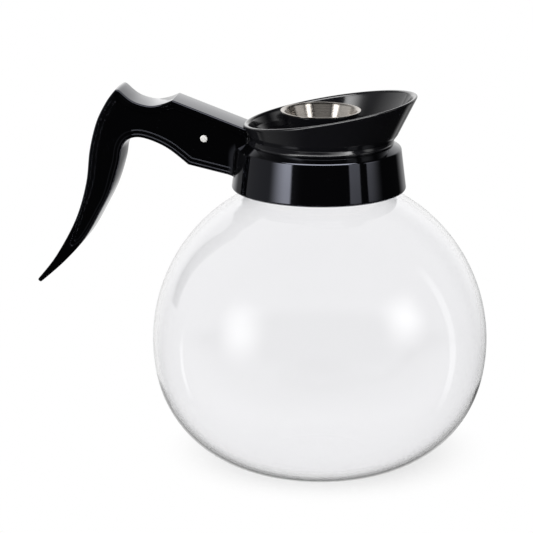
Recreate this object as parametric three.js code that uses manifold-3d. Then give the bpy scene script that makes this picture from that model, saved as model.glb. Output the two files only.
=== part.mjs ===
// A glass coffee carafe: a blown globe, a black collar and spout on its neck, a pistol-grip handle,
// and a steel-lined brew funnel that stands in the spout and lifts out.
// Millimetres, +Z up. The origin is the middle of the flat under the globe. The spout pours towards +X
// and the handle stands out towards -X.
import * as THREE from "three";
import { mergeVertices } from "three/addons/utils/BufferGeometryUtils.js";
import Module from "manifold-3d";

// Globe: a sphere that rounds off to a flat underneath.
const globeRadius = 82.5;
const baseFlattening = 19; // how far the flat lies inside the full sphere
const baseFlatRadius = 24;
const glassWall = 2.2;
const baseThickness = 3;

// Neck of the globe, with a bead round its rim.
const neckRadius = 32;
const neckFillet = 5;
const neckLength = 17.2; // from the top of the fillet to the rim, bead included
const beadProud = 1.2;
const beadHeight = 2.9;
const rimRound = 0.6;

// Strap and cushion round the neck, and the gasket on the rim.
const cushionThickness = 1.2;
const cushionOverlap = 1; // how far the cushion shows below the strap
const bandThickness = 0.8;
const bandWidth = 7;
const earGap = 0.6;
const earRadius = 4; // round end of each ear, about the pin
const earBend = 1; // clear of the collar before the ears turn up
const gasketThickness = 1;
const gasketInset = 0.4; // from the edges of the glass rim

// Collar: a tapered skirt with a rounded shoulder.
const collarWall = 2.4;
const collarHeight = 22.8;
const collarRoom = 2.2; // between the strap and the skirt
const collarTaper = 2.4; // how much wider the skirt is at its foot
const collarShoulder = 2.6; // radius of the rounded shoulder
const footChamfer = 1.2; // round the skirt's lower edge

// Spout: a flared cone from a ringed foot to an oval rim that is cut on a slant.
const spoutWall = 2.4;
const spoutFlange = 1.7;
const footRingProud = 2.5; // ring over the collar, past the flange
const footRingHeight = 2;
const footRingRound = 1.1;
const spoutLead = 1.8; // how far the throat stands forward of a straight cone
const spoutBackFlare = 4; // how far the rim stands out past the foot, at the handle
const spoutSideFlare = 4.8;
const spoutFrontFlare = 13.4;
const spoutBackRise = 7.3; // height of the rim above the foot, at the handle
const spoutFrontRise = 22.4;
const skirtWall = 2;
const skirtLength = 12; // plug that goes down inside the neck
const seatRise = 0.7; // ledge for the funnel, above the spout's foot

// Brew funnel: a black cup on a floor with pouring slots, and its steel liner.
const floorThickness = 2;
const funnelRadius = 19.2; // outside of the cup at its top
const funnelRise = 11.9; // cup above its floor
const funnelDrop = 6.3; // cup below its floor
const funnelHalfAngle = THREE.MathUtils.degToRad(23.3);
const cupWall = 1.5;
const linerThickness = 0.6;
const lipProud = 0.6; // rolled lip of the liner past the cup
const lipThickness = 0.7;
const slotEdge = 2.6; // floor left between a slot and the spout's bore
const slotWeb = 2.2; // floor left between a slot and the cup
const pourSlotAngle = THREE.MathUtils.degToRad(84);
const ventSlotAngle = THREE.MathUtils.degToRad(34);

// Handle: one flat moulding, seen from the side, with a recessed panel on each flank.
const handleWidth = 20.4;
const edgeRound = 0.8;
const borderWidth = 2.3;
const panelDepth = 1.2;
const panelRootGap = 4.5; // plain flank left between the panel and the collar
const rootFillet = 5; // where the flanks sweep out to the collar
const pinRadius = 1.75;
const pinProud = 0.25;
const pinChamfer = 0.45;
const pinReach = 14.5; // out from the foot of the collar
const pinRise = 1.5; // up from the top of the collar

// Handle outline in the side view: out from the foot of the collar, up from the top of the collar.
const rootTop = [-9, 6.3];
const armPeak = [29.5, 20.3];
const thumbDip = [[34.6, 18.2], [40.2, 17.1], [45.6, 17.9], [50.4, 19.9]];
const hornStart = [55.4, 24];
const hornPeak = [57.2, 25.6];
const hornEnd = [58.8, 23.4];
const spine = [[62.6, 18.1], [67.5, 8.2], [71.1, -6], [73.2, -22.8], [78.7, -41.2], [88.8, -60]];
const tipOuter = [98.6, -72.7];
const tipInner = [97, -74.1];
const innerGrip = [[85.4, -62.2], [74.4, -50.2], [66.4, -37.7], [60.2, -25.3], [56.2, -12.6]];
const fingerArch = [[54.7, -3.8], [51.6, 0.6], [46.2, 1.9], [38.6, 0], [30.8, -4]];
const armHeel = [21.9, -11.2];
const rootBottom = [-9, -18.4];
const panelLowest = -53; // the panel runs out where the grip thins to a blade

// Fits, and how finely round shapes are cut.
const seatGap = 0.3; // between pieces that rest on each other
const slideGap = 0.5; // round pieces that drop into another
const mouthGap = 0.4; // between the bead and the collar's mouth
const roundSides = 48;
const pinSides = 24;
const arcSteps = 6;
const splineSteps = 4;
const lipSteps = 4; // flats across a rounded lip
const bevelSteps = 2;
const weld = 1e-4; // corners closer than this are one
const overCut = 5; // how far a cutter runs past what it cuts

const wasm = await Module();
wasm.setup();

// Heights and radii that follow from the sizes above.
const globeCentre = globeRadius - baseFlattening;
const filletReach = globeRadius + neckFillet;
const neckStart = globeCentre + Math.sqrt(filletReach ** 2 - (neckRadius + neckFillet) ** 2);
const rimTop = neckStart + neckLength;
const neckBore = neckRadius - glassWall;
const beadRadius = neckRadius + beadProud;
const bandTop = rimTop - beadHeight - 2 * seatGap;
const bandBottom = bandTop - bandWidth;
const cushionInner = neckRadius + seatGap;
const cushionOuter = cushionInner + cushionThickness;
const bandInner = cushionOuter + seatGap;
const bandOuter = bandInner + bandThickness;
const gasketBottom = rimTop + seatGap;
const flangeBottom = gasketBottom + gasketThickness + seatGap;
const spoutFoot = flangeBottom + spoutFlange;
const spoutFootRadius = beadRadius;
const footRingRadius = spoutFootRadius + footRingProud;
const footRingTop = spoutFoot + footRingHeight;
const collarTop = spoutFoot - seatGap;
const collarBottom = collarTop - collarHeight;
const collarMouth = beadRadius + mouthGap;
const shoulderRadius = bandOuter + collarRoom + collarWall;
const collarFootRadius = shoulderRadius + collarTaper;
const skirtOuter = neckBore - slideGap;
const spoutBore = skirtOuter - skirtWall;
const seatLedge = spoutFoot + seatRise;
const seatRadius = spoutFootRadius - spoutWall;
const floorBottom = seatLedge + seatGap;
const floorTop = floorBottom + floorThickness;
const floorRadius = seatRadius - slideGap;
const cupTop = floorTop + funnelRise;
const cupBottom = floorBottom - funnelDrop;
const pinX = -(collarFootRadius + pinReach);
const pinZ = collarTop + pinRise;

// Turns a geometry into a closed solid: shared corners merged, collapsed triangles dropped.
function solidFrom(geometry) {
  const bare = geometry.index ? geometry.toNonIndexed() : geometry.clone();
  bare.deleteAttribute("normal");
  bare.deleteAttribute("uv");
  const merged = mergeVertices(bare, weld);
  const corners = merged.index.array;
  const kept = [];
  for (let i = 0; i < corners.length; i += 3) {
    const [a, b, c] = corners.slice(i, i + 3);
    if (a !== b && b !== c && c !== a) kept.push(a, b, c);
  }
  const mesh = new wasm.Mesh({
    numProp: 3,
    vertProperties: merged.attributes.position.array,
    triVerts: new Uint32Array(kept),
  });
  return new wasm.Manifold(mesh);
}

// The triangles of a solid as a geometry that can be drawn.
function geometryFrom(solid) {
  const mesh = solid.getMesh();
  const geometry = new THREE.BufferGeometry();
  geometry.setAttribute("position", new THREE.BufferAttribute(mesh.vertProperties, 3));
  geometry.setIndex(new THREE.BufferAttribute(mesh.triVerts, 1));
  geometry.computeVertexNormals();
  return geometry;
}

// A ring of revolution about Z from a closed list of [radius, height] points, outside first.
function turned(profile) {
  const points = profile.map(([radius, height]) => new THREE.Vector2(radius, height));
  points.push(points[0].clone());
  return new THREE.LatheGeometry(points, roundSides).rotateX(Math.PI / 2);
}

// A solid of revolution about Z whose profile starts and ends on the axis.
function turnedPlug(profile) {
  const points = profile.map(([radius, height]) => new THREE.Vector2(radius, height));
  return new THREE.LatheGeometry(points, roundSides).rotateX(Math.PI / 2);
}

// Points of an arc about a centre, both ends included.
function arc(centreR, centreZ, radius, from, to, steps = arcSteps) {
  return Array.from({ length: steps + 1 }, (_, i) => {
    const angle = from + ((to - from) * i) / steps;
    return [centreR + radius * Math.cos(angle), centreZ + radius * Math.sin(angle)];
  });
}

// A side-view outline pushed out along Y, centred on the XZ plane.
function slab(points, width, round = 0) {
  const geometry = new THREE.ExtrudeGeometry(new THREE.Shape(points), {
    depth: width - 2 * round,
    bevelEnabled: round > 0,
    bevelSize: round,
    bevelOffset: -round,
    bevelThickness: round,
    bevelSegments: bevelSteps,
  });
  return geometry.rotateX(Math.PI / 2).translate(0, width / 2 - round, 0);
}

// A plan-view outline raised along Z between two heights.
function column(shape, bottom, top) {
  const options = { depth: top - bottom, bevelEnabled: false, curveSegments: arcSteps * 2 };
  return new THREE.ExtrudeGeometry(shape, options).translate(0, 0, bottom);
}

// A skin over rings of points: a closed loop of rings, or a run of rings capped at both ends.
function loft(rings, looped) {
  const positions = [];
  const corner = (point) => positions.push(point.x, point.y, point.z);
  const sides = rings[0].length;
  const spans = looped ? rings.length : rings.length - 1;
  for (let i = 0; i < spans; i++) {
    const lower = rings[i];
    const upper = rings[(i + 1) % rings.length];
    for (let j = 0; j < sides; j++) {
      const k = (j + 1) % sides;
      [lower[j], lower[k], upper[k], lower[j], upper[k], upper[j]].forEach(corner);
    }
  }
  const cap = (ring, facesUp) => {
    const middle = new THREE.Vector3();
    ring.forEach((point) => middle.addScaledVector(point, 1 / sides));
    for (let j = 0; j < sides; j++) {
      const k = (j + 1) % sides;
      (facesUp ? [middle, ring[j], ring[k]] : [middle, ring[k], ring[j]]).forEach(corner);
    }
  };
  if (!looped) {
    cap(rings[0], false);
    cap(rings.at(-1), true);
  }
  const geometry = new THREE.BufferGeometry();
  geometry.setAttribute("position", new THREE.Float32BufferAttribute(positions, 3));
  geometry.computeVertexNormals();
  return geometry;
}

// One side of the globe's glass: flat, rounding, sphere, neck fillet, in that order from the axis.
function globeSide(radius, floor, fillet) {
  const drop = globeCentre - floor;
  const roundRadius = (radius ** 2 - baseFlatRadius ** 2 - drop ** 2) / (2 * (radius - drop));
  const roundCentre = floor + roundRadius;
  const meets = Math.atan2(roundCentre - globeCentre, baseFlatRadius);
  const leaves = Math.atan2(neckStart - globeCentre, neckRadius + neckFillet);
  return [
    [0, floor],
    ...arc(baseFlatRadius, roundCentre, roundRadius, -Math.PI / 2, meets),
    ...arc(0, globeCentre, radius, meets, leaves, arcSteps * 2).slice(1),
    ...arc(neckRadius + neckFillet, neckStart, fillet, leaves + Math.PI, Math.PI).slice(1),
  ];
}

function glassGlobe() {
  const outside = globeSide(globeRadius, 0, neckFillet);
  const inside = globeSide(globeRadius - glassWall, baseThickness, neckFillet + glassWall);
  const rim = [
    [neckRadius, rimTop - beadHeight],
    [beadRadius, rimTop - beadHeight + beadProud],
    [beadRadius, rimTop - rimRound],
    [beadRadius - rimRound, rimTop],
    [neckBore + rimRound, rimTop],
    [neckBore, rimTop - rimRound],
  ];
  return turnedPlug([...outside, ...rim, ...inside.reverse()]);
}

function ring(inner, outer, bottom, top) {
  return turned([[outer, bottom], [outer, top], [inner, top], [inner, bottom]]);
}

// The side outline of one ear: level with the strap, then up to the pin, grown by a margin.
function earOutline(margin) {
  const bend = -(collarFootRadius + earBend);
  const start = -(bandInner + bandThickness / 2);
  const middle = (bandBottom + bandTop) / 2;
  const heading = Math.atan2(pinZ - middle, pinX - bend);
  const end = arc(pinX, pinZ, earRadius + margin, heading + Math.PI / 2, heading - Math.PI / 2);
  const points = [
    [start + margin, bandBottom - margin],
    [bend, bandBottom - margin],
    ...end,
    [bend, bandTop + margin],
    [start + margin, bandTop + margin],
  ];
  return points.map(([x, z]) => new THREE.Vector2(x, z));
}

// A round bar along Y through the pin's place.
function pinBar(radius, length) {
  const bar = new THREE.CylinderGeometry(radius, radius, length, pinSides);
  return bar.translate(pinX, 0, pinZ);
}

// A ring split at the back, with an ear running back from each side of the split.
function clampBand() {
  const strap = solidFrom(ring(bandInner, bandOuter, bandBottom, bandTop));
  const ears = solidFrom(slab(earOutline(0), earGap + 2 * bandThickness));
  const near = bandInner - overCut;
  const far = earRadius + overCut - pinX;
  const low = bandBottom - overCut;
  const high = pinZ + earRadius + overCut;
  const split = new THREE.BoxGeometry(far - near, earGap, high - low);
  split.translate(-(near + far) / 2, 0, (low + high) / 2);
  const bore = solidFrom(pinBar(pinRadius + seatGap, handleWidth));
  return geometryFrom(strap.add(ears).subtract(solidFrom(split)).subtract(bore));
}

// The outside of the collar from its foot up, pushed out by a margin.
function collarOutside(margin) {
  const roundR = shoulderRadius - collarShoulder;
  const roundZ = collarTop - collarShoulder;
  return [
    [collarFootRadius - footChamfer / 2 + margin, collarBottom - margin],
    [collarFootRadius + margin, collarBottom + footChamfer],
    ...arc(roundR, roundZ, collarShoulder + margin, 0, Math.PI / 2),
  ];
}

function collar() {
  const skirtTop = bandTop + seatGap;
  const shell = turned([
    ...collarOutside(0),
    [collarMouth, collarTop],
    [collarMouth, skirtTop],
    [shoulderRadius - collarWall, skirtTop],
    [collarFootRadius - collarWall, collarBottom],
  ]);
  const slotWidth = earGap + 2 * bandThickness + 2 * slideGap;
  const slotStart = collarMouth - overCut;
  const slotEnd = collarFootRadius + overCut;
  const slot = new THREE.BoxGeometry(slotEnd - slotStart, slotWidth, bandWidth + 2 * slideGap);
  slot.translate(-(slotStart + slotEnd) / 2, 0, (bandBottom + bandTop) / 2);
  return geometryFrom(solidFrom(shell).subtract(solidFrom(slot)));
}

// An oval ring of points about Z, with its reach each way and a height for each x.
function oval(front, back, side, heightAt) {
  return Array.from({ length: roundSides }, (_, i) => {
    const angle = (i / roundSides) * Math.PI * 2;
    const x = (front - back) / 2 + ((front + back) / 2) * Math.cos(angle);
    return new THREE.Vector3(x, side * Math.sin(angle), heightAt(x));
  });
}

function circle(radius, height) {
  return oval(radius, radius, radius, () => height);
}

// The spout's rim, drawn in by an inset, on the slanted plane through its front and back.
function spoutRim(inset) {
  const back = spoutFootRadius + spoutBackFlare;
  const front = spoutFootRadius + spoutFrontFlare;
  const side = spoutFootRadius + spoutSideFlare;
  const slope = (spoutFrontRise - spoutBackRise) / (front + back);
  const heightAt = (x) => spoutFoot + spoutBackRise + (x + back) * slope;
  return oval(front - inset, back - inset, side - inset, heightAt);
}

// The spout's throat, level with the top of its foot ring, drawn in by an inset.
function spoutThroat(inset) {
  const sideRise = (spoutFrontRise + spoutBackRise) / 2;
  const reach = (flare, rise) => spoutFootRadius - inset + (flare * footRingHeight) / rise;
  const front = reach(spoutFrontFlare, spoutFrontRise) + spoutLead;
  const back = reach(spoutBackFlare, spoutBackRise);
  return oval(front, back, reach(spoutSideFlare, sideRise), () => footRingTop);
}

// The ring round the spout's foot, from inside the cone's wall out, pushed out by a margin.
function footRing(inner, margin) {
  const roundR = footRingRadius - footRingRound;
  const roundZ = footRingTop - footRingRound;
  return [
    [inner, spoutFoot - margin],
    [footRingRadius + margin, spoutFoot - margin],
    ...arc(roundR, roundZ, footRingRound + margin, 0, Math.PI / 2),
    [inner, footRingTop + margin],
  ];
}

function pourSpout() {
  const outer = spoutRim(0);
  const inner = spoutRim(spoutWall);
  const throat = spoutThroat(0);
  const lip = Array.from({ length: lipSteps - 1 }, (_, i) => {
    const angle = (Math.PI * (i + 1)) / lipSteps;
    return outer.map((point, j) => {
      const middle = point.clone().add(inner[j]).multiplyScalar(0.5);
      const across = point.clone().sub(middle);
      const along = point.clone().sub(throat[j]).setLength(across.length());
      return middle.addScaledVector(across, Math.cos(angle)).addScaledVector(along, Math.sin(angle));
    });
  });
  const rings = [
    circle(skirtOuter, flangeBottom - skirtLength),
    circle(skirtOuter, flangeBottom),
    circle(spoutFootRadius, flangeBottom),
    circle(spoutFootRadius, spoutFoot),
    throat,
    outer,
    ...lip,
    inner,
    spoutThroat(spoutWall),
    circle(seatRadius, seatLedge),
    circle(spoutBore, seatLedge),
    circle(spoutBore, flangeBottom - skirtLength),
  ];
  const buried = spoutFootRadius - seatGap;
  return geometryFrom(solidFrom(loft(rings, true)).add(solidFrom(turned(footRing(buried, 0)))));
}

// Radius of the cup's outside at a height: a plain cone.
function cupRadius(height) {
  return funnelRadius - (cupTop - height) * Math.tan(funnelHalfAngle);
}

// A plan-view cutter for a slot in the funnel's floor, about a direction.
function floorSlot(direction, spread) {
  const inner = cupRadius(floorTop) + slotWeb;
  const outer = spoutBore - slotEdge;
  const shape = new THREE.Shape();
  shape.absarc(0, 0, outer, direction - spread / 2, direction + spread / 2, false);
  shape.absarc(0, 0, inner, direction + spread / 2, direction - spread / 2, true);
  return solidFrom(column(shape, floorBottom - overCut, floorTop + overCut));
}

function funnelCup() {
  const cup = turned([
    [cupRadius(cupBottom), cupBottom],
    [cupRadius(floorBottom), floorBottom],
    [floorRadius, floorBottom],
    [floorRadius, floorTop],
    [cupRadius(floorTop), floorTop],
    [funnelRadius, cupTop],
    [funnelRadius - cupWall, cupTop],
    [cupRadius(cupBottom) - cupWall, cupBottom],
  ]);
  const pourSlot = floorSlot(0, pourSlotAngle);
  const ventSlot = floorSlot(Math.PI, ventSlotAngle);
  return geometryFrom(solidFrom(cup).subtract(pourSlot).subtract(ventSlot));
}

function funnelLiner() {
  const lipBottom = cupTop + seatGap;
  const outside = (height) => cupRadius(height) - cupWall - seatGap;
  const lipRadius = funnelRadius + lipProud;
  return turned([
    [outside(cupBottom), cupBottom],
    [outside(lipBottom), lipBottom],
    [lipRadius - lipThickness / 2, lipBottom],
    [lipRadius, lipBottom + lipThickness / 2],
    [lipRadius - lipThickness / 2, lipBottom + lipThickness],
    [outside(lipBottom) - linerThickness + lipThickness / 2, lipBottom + lipThickness],
    [outside(lipBottom) - linerThickness, lipBottom],
    [outside(cupBottom) - linerThickness, cupBottom],
  ]);
}

// A handle point, given out from the collar's foot and up from its top, in the side view's x and z.
function handlePoint([out, up]) {
  return new THREE.Vector2(-(collarFootRadius + out), collarTop + up);
}

// A smooth run through handle points, both ends included.
function handleSpline(points) {
  const curve = new THREE.SplineCurve(points.map(handlePoint));
  return curve.getPoints((points.length - 1) * splineSteps);
}

// The grip's edge from the arm's peak round to its heel, with the horn between the dip and the spine.
function gripEdge(dip, horn, back) {
  return [
    ...handleSpline([armPeak, ...dip]),
    ...horn,
    ...handleSpline([...back, tipOuter]),
    ...handleSpline([tipInner, ...innerGrip, ...fingerArch, armHeel]),
  ];
}

function handleOutline() {
  const horn = new THREE.QuadraticBezierCurve(...[hornStart, hornPeak, hornEnd].map(handlePoint));
  const round = horn.getPoints(splineSteps).slice(1, -1);
  const edge = gripEdge([...thumbDip, hornStart], round, [hornEnd, ...spine]);
  return [handlePoint(rootTop), ...edge, handlePoint(rootBottom)];
}

// A closed outline drawn in by the same distance all round.
function drawnIn(points, distance) {
  const side = THREE.ShapeUtils.isClockWise(points) ? -1 : 1;
  const normal = (from, to) => new THREE.Vector2(from.y - to.y, to.x - from.x).setLength(side);
  return points.map((point, i) => {
    const before = normal(points.at(i - 1), point);
    const after = normal(point, points[(i + 1) % points.length]);
    const spread = distance / (1 + before.dot(after));
    return point.clone().addScaledVector(before.add(after), spread);
  });
}

// The recess on a flank: the outline clear of the collar and of the blade, less the border. The horn
// is a plain corner here, because the border is wider than its rounding.
function panelOutline() {
  const lowest = collarTop + panelLowest;
  const nearest = -(collarFootRadius + panelRootGap - borderWidth);
  const edge = gripEdge(thumbDip, [handlePoint(hornPeak)], spine);
  const kept = edge.filter((point) => point.y > lowest && point.x < nearest);
  const slope = (from, to) => (to.y - from.y) / (to.x - from.x);
  const peak = handlePoint(armPeak);
  const heel = handlePoint(armHeel);
  const top = peak.y + slope(peak, handlePoint(rootTop)) * (nearest - peak.x);
  const bottom = heel.y + slope(heel, handlePoint(rootBottom)) * (nearest - heel.x);
  const root = [new THREE.Vector2(nearest, bottom), new THREE.Vector2(nearest, top)];
  return drawnIn([...root, ...kept], borderWidth);
}

// The sweep of both flanks out to the collar, as a plan-view column under the collar's top.
function rootSweep() {
  const flank = handleWidth / 2;
  const centreY = flank + rootFillet;
  const centreX = -Math.sqrt((collarFootRadius + rootFillet) ** 2 - centreY ** 2);
  const turn = Math.atan2(-centreY, -centreX);
  const half = arc(centreX, centreY, rootFillet, -Math.PI / 2, turn);
  const outline = [
    ...half,
    [-collarMouth, half.at(-1)[1]],
    [-collarMouth, -half.at(-1)[1]],
    ...half.toReversed().map(([x, y]) => [x, -y]),
  ];
  const shape = new THREE.Shape(outline.map(([x, y]) => new THREE.Vector2(x, y)));
  const sweep = solidFrom(column(shape, collarBottom, collarTop));
  return sweep.intersect(solidFrom(slab(handleOutline(), handleWidth + 4 * rootFillet)));
}

function handle() {
  const collarPlug = turnedPlug([
    [0, collarBottom - seatGap],
    ...collarOutside(seatGap),
    [0, collarTop + seatGap],
  ]);
  const rim = spoutRim(-2 * seatGap);
  const aboveRim = rim.map((point) => point.clone().setZ(point.z + overCut));
  const foot = [flangeBottom, spoutFoot].map((height) => circle(spoutFootRadius + seatGap, height));
  const spoutPlug = loft([...foot, spoutThroat(-2 * seatGap), rim, aboveRim], false);
  const ringPlug = turnedPlug(footRing(0, seatGap));
  const pocket = slab(earOutline(slideGap), earGap + 2 * bandThickness + 2 * slideGap);
  const panelCut = solidFrom(slab(panelOutline(), panelDepth * 2));
  return geometryFrom(
    solidFrom(slab(handleOutline(), handleWidth, edgeRound))
      .add(rootSweep())
      .subtract(solidFrom(collarPlug))
      .subtract(solidFrom(spoutPlug))
      .subtract(solidFrom(ringPlug))
      .subtract(solidFrom(pocket))
      .subtract(panelCut.translate([0, handleWidth / 2, 0]))
      .subtract(panelCut.translate([0, -handleWidth / 2, 0]))
      .subtract(solidFrom(pinBar(pinRadius + seatGap, handleWidth * 2))),
  );
}

function handlePin() {
  const half = handleWidth / 2 - panelDepth + pinProud;
  const profile = [
    [0, -half],
    [pinRadius - pinChamfer, -half],
    [pinRadius, pinChamfer - half],
    [pinRadius, half - pinChamfer],
    [pinRadius - pinChamfer, half],
    [0, half],
  ];
  const points = profile.map(([radius, along]) => new THREE.Vector2(radius, along));
  return new THREE.LatheGeometry(points, pinSides).translate(pinX, 0, pinZ);
}

const glass = new THREE.MeshStandardMaterial({
  color: 0xf2f6f6,
  roughness: 0.03,
  metalness: 0,
  transparent: true,
  opacity: 0.35,
});
const glossBlack = new THREE.MeshStandardMaterial({ color: 0x0b0b0c, roughness: 0.12, metalness: 0 });
const satinBlack = new THREE.MeshStandardMaterial({ color: 0x111214, roughness: 0.35, metalness: 0 });
const steel = new THREE.MeshStandardMaterial({ color: 0xb9b4ae, roughness: 0.3, metalness: 1 });
const silicone = new THREE.MeshStandardMaterial({ color: 0xd9d7d2, roughness: 0.6, metalness: 0 });
const nylon = new THREE.MeshStandardMaterial({ color: 0xf1efeb, roughness: 0.3, metalness: 0 });

const carafe = new THREE.Group();

function place(name, geometry, material) {
  const mesh = new THREE.Mesh(geometry, material);
  mesh.name = name;
  carafe.add(mesh);
}

place("glass_globe", glassGlobe(), glass);
place("neck_cushion", ring(cushionInner, cushionOuter, bandBottom - cushionOverlap, bandTop), silicone);
place("clamp_band", clampBand(), steel);
place("rim_gasket", ring(neckBore + gasketInset, neckRadius + gasketInset, gasketBottom,
  gasketBottom + gasketThickness), silicone);
place("collar", collar(), glossBlack);
place("pour_spout", pourSpout(), satinBlack);
place("funnel_cup", funnelCup(), satinBlack);
place("funnel_liner", funnelLiner(), steel);
place("handle", handle(), glossBlack);
place("handle_pin", handlePin(), nylon);

export default carafe;
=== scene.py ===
# %% [markdown]
# A glass coffee carafe, dressed in Blender over a frame of plain solids.
# The frame holds the true sizes and the joint. Each cell below makes one finish or one piece, in the
# frame's own place: +Z is up, the spout pours towards +X, and the handle stands out towards -X.

import math

import bmesh
import bpy
from mathutils import Matrix, Vector
from mathutils.geometry import tessellate_polygon


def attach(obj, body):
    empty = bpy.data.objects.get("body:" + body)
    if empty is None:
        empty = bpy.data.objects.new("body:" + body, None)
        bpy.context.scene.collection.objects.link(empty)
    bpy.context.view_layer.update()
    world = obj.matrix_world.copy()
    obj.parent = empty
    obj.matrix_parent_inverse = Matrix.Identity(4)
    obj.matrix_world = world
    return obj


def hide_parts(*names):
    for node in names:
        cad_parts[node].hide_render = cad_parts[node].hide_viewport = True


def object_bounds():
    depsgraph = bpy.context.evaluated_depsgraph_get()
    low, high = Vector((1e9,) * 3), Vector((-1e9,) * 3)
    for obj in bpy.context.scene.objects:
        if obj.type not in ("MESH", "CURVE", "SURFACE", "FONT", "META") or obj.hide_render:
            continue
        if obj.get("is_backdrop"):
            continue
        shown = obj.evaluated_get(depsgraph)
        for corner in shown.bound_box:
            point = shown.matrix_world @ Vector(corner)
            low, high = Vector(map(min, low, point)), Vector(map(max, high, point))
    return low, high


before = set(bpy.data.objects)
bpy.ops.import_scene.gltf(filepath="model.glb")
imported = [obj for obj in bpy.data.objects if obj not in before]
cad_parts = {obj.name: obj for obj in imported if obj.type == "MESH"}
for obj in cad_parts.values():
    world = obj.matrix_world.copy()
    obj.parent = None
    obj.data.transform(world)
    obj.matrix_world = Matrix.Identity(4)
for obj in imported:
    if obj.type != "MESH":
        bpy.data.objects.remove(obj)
cad_low, cad_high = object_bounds()
scene = bpy.context.scene
print("frame", sorted(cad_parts), "size", [round(side, 4) for side in cad_high - cad_low])

# %% [markdown]
# Sizes below are in millimetres, because that is how such a piece is measured, and Blender works in
# metres. Colours are written as they look on a screen, and Blender mixes light in linear values, so one
# function turns one into the other. One more function adds a shader node, so that a material reads as a
# short list of what feeds what.

# %% Helpers for units, colours and nodes
MM = 0.001


def linear(hex_colour):
    """An sRGB hex colour as linear red, green, blue and alpha."""
    channels = [int(hex_colour[i:i + 2], 16) / 255 for i in (1, 3, 5)]
    curve = [c / 12.92 if c <= 0.04045 else ((c + 0.055) / 1.055) ** 2.4 for c in channels]
    return [*curve, 1.0]


def node(tree, kind, inputs=None, **settings):
    """Adds a shader node, sets its properties, and fills or links its inputs. An input that is given a
    node is linked to that node's first output."""
    made = tree.nodes.new("ShaderNode" + kind)
    for name, value in settings.items():
        setattr(made, name, value)
    for name, value in (inputs or {}).items():
        if isinstance(value, bpy.types.Node):
            value = value.outputs[0]
        if isinstance(value, bpy.types.NodeSocket):
            tree.links.new(value, made.inputs[name])
        else:
            made.inputs[name].default_value = value
    return made


print("black plastic #050506 is", [round(c, 5) for c in linear("#050506")])

# %% [markdown]
# The camera stands a little to the spout's side and looks down on the carafe by about fifteen degrees,
# through a long lens. A long lens from further off keeps the globe round, as a product picture does.

# %% Camera
CAMERA_AZIMUTH = math.radians(9)
CAMERA_PITCH = math.radians(15.095)
CAMERA_DISTANCE = 1.3
CAMERA_AIM = Vector((0, 0, 0.0635))
IMAGE_SIZE = 533
FOCAL_PIXELS = 2622.455
AIM_PIXEL = Vector((319.586, 337.995))

away = Vector((
    -math.sin(CAMERA_AZIMUTH) * math.cos(CAMERA_PITCH),
    math.cos(CAMERA_AZIMUTH) * math.cos(CAMERA_PITCH),
    -math.sin(CAMERA_PITCH),
))
to_right = Vector((math.cos(CAMERA_AZIMUTH), math.sin(CAMERA_AZIMUTH), 0))
upward = to_right.cross(away)
offset = (AIM_PIXEL - Vector((IMAGE_SIZE / 2, IMAGE_SIZE / 2))) * CAMERA_DISTANCE / FOCAL_PIXELS
lens = bpy.data.cameras.new("camera")
lens.sensor_width = 36
lens.lens = lens.sensor_width * FOCAL_PIXELS / IMAGE_SIZE
lens.clip_start = 0.05
lens.clip_end = 50
camera = bpy.data.objects.new("camera", lens)
scene.collection.objects.link(camera)
camera.location = CAMERA_AIM - away * CAMERA_DISTANCE - to_right * offset.x + upward * offset.y
camera.rotation_euler = Matrix((to_right, upward, -away)).transposed().to_euler()
scene.camera = camera
scene.view_settings.view_transform = "Standard"
print("camera at", [round(c, 4) for c in camera.location], "lens", round(lens.lens, 2), "mm")

# %% [markdown]
# Black gloss and clear glass have little colour of their own: the eye reads them by what they reflect.
# So the studio is built first. For reflections it is a white backdrop behind, which greys towards its foot
# and is pale again where the table begins, a grey wall on the left, and darkness in front. That gives
# glass its soft grey body and plastic its depth. A picture of a room could do this too, but a few ramps
# are easier to move.

# %% Room for reflections
BACKDROP_EDGE, BACKDROP_FULL = math.cos(math.radians(52)), math.cos(math.radians(26))
BACKDROP_LOW = math.sin(math.radians(-18))
TABLE_EDGE, TABLE_FULL = math.sin(math.radians(-20)), math.sin(math.radians(-27))
LOW_MIDDLE, LOW_SIDE = 0.04, 0.32
LOW_MIDDLE_GREY, LOW_SIDE_GREY = 0.85, 0.25
LEFT_FROM, LEFT_TO = 0.25, 0.9
LEFT_GREY = 0.3
FRONT_DARK = 0.012

level_away = Vector((away.x, away.y, 0)).normalized()
world = bpy.data.worlds.new("studio")
world.use_nodes = True
scene.world = world
tree = world.node_tree
tree.nodes.clear()
direction = node(tree, "TexCoord").outputs["Generated"]
axes = node(tree, "SeparateXYZ", {"Vector": direction}).outputs
behind = node(tree, "VectorMath", {0: direction, 1: level_away}, operation="DOT_PRODUCT").outputs["Value"]
aside = node(tree, "VectorMath", {0: direction, 1: to_right}, operation="DOT_PRODUCT").outputs["Value"]
white_wall = node(tree, "MapRange", {
    "Value": behind, "From Min": BACKDROP_EDGE, "From Max": BACKDROP_FULL,
}, interpolation_type="SMOOTHSTEP")
low_grey = node(tree, "MapRange", {
    "Value": aside, "From Min": LOW_MIDDLE, "From Max": LOW_SIDE,
    "To Min": LOW_MIDDLE_GREY, "To Max": LOW_SIDE_GREY,
}, interpolation_type="SMOOTHSTEP")
grading = node(tree, "MapRange", {
    "Value": axes["Z"], "From Min": BACKDROP_LOW, "From Max": 0.0, "To Min": low_grey,
})
table_top = node(tree, "MapRange", {
    "Value": axes["Z"], "From Min": TABLE_EDGE, "From Max": TABLE_FULL,
}, interpolation_type="SMOOTHSTEP")
paleness = node(tree, "Math", {0: grading, 1: table_top}, operation="MAXIMUM")
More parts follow.
